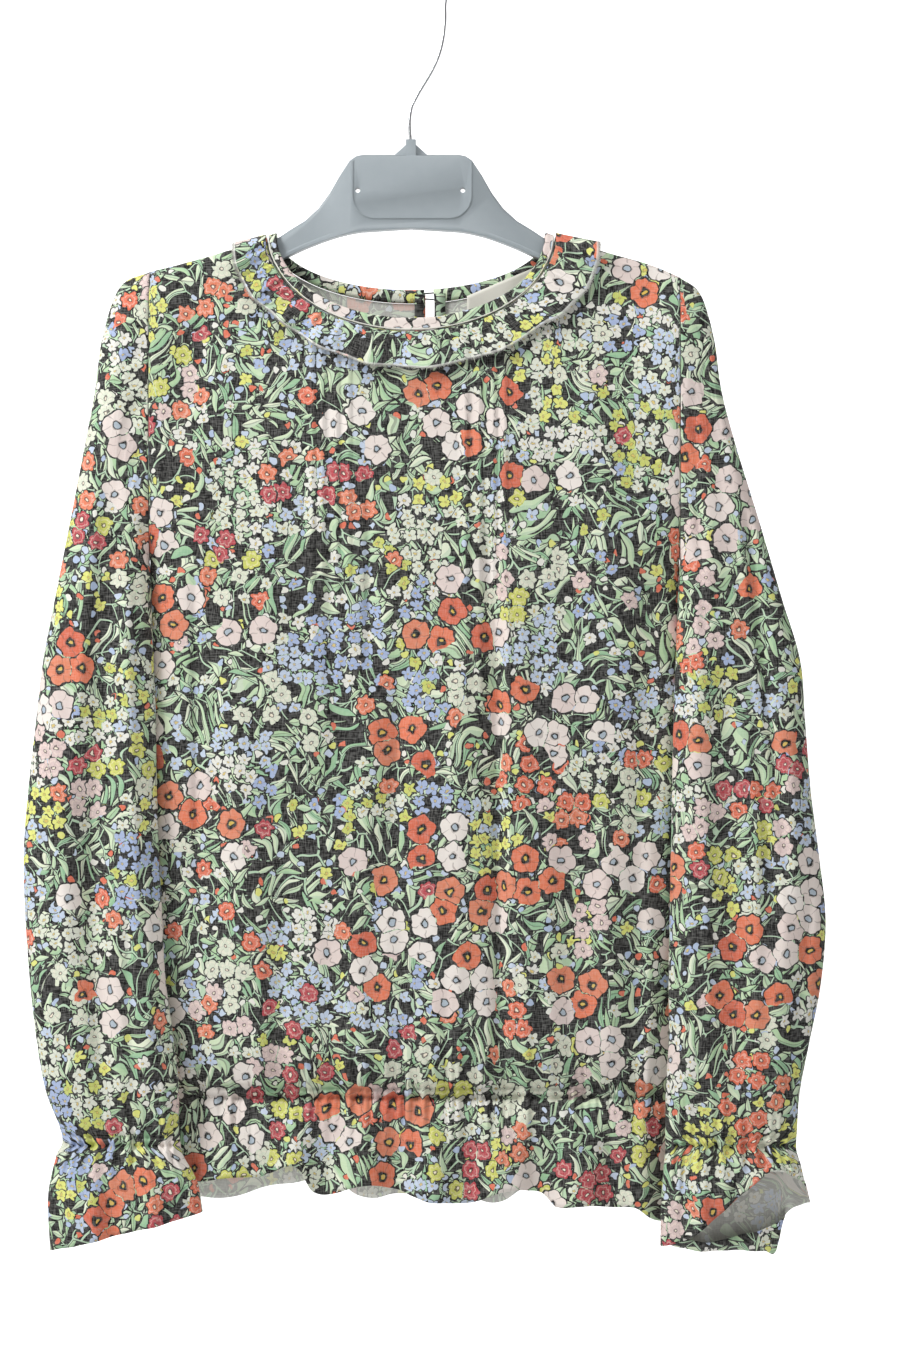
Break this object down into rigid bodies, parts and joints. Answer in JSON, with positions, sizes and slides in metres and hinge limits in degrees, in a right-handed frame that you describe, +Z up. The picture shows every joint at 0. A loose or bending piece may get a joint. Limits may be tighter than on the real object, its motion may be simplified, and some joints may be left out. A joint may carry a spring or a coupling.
{
  "type": "blouse on a hanger",
  "caption": "Long-sleeved printed blouse on a plastic hanger, with a frilled round neck, pintucks, a shirred waist with a hem frill and elastic frilled cuffs.",
  "frame": {"origin": "Inside of the top of the wire hook, where it hangs on its rail.", "axes": "+X to the viewer's right across the shoulders, -Y out of the front, +Z up."},
  "size_m": [0.5253, 0.0728, 0.8588],
  "materials": {
    "printed_voile": "thin cotton voile with a small floral print",
    "button_shell": "small dark button",
    "loop_thread": "thread loop",
    "label_tape": "bare woven tape",
    "hanger_plastic": "satin moulded plastic",
    "hook_wire": "drawn wire"
  },
  "bodies": {
    "root": {"front": "printed_voile", "back": "printed_voile", "sleeve_left": "printed_voile", "sleeve_right": "printed_voile", "neck_band": "printed_voile", "collar_frill": "printed_voile", "keyhole_binding": "printed_voile", "button": "button_shell", "button_loop": "loop_thread", "label": "label_tape", "hanger": "hanger_plastic", "hook": "hook_wire"}
  },
  "joints": []
}
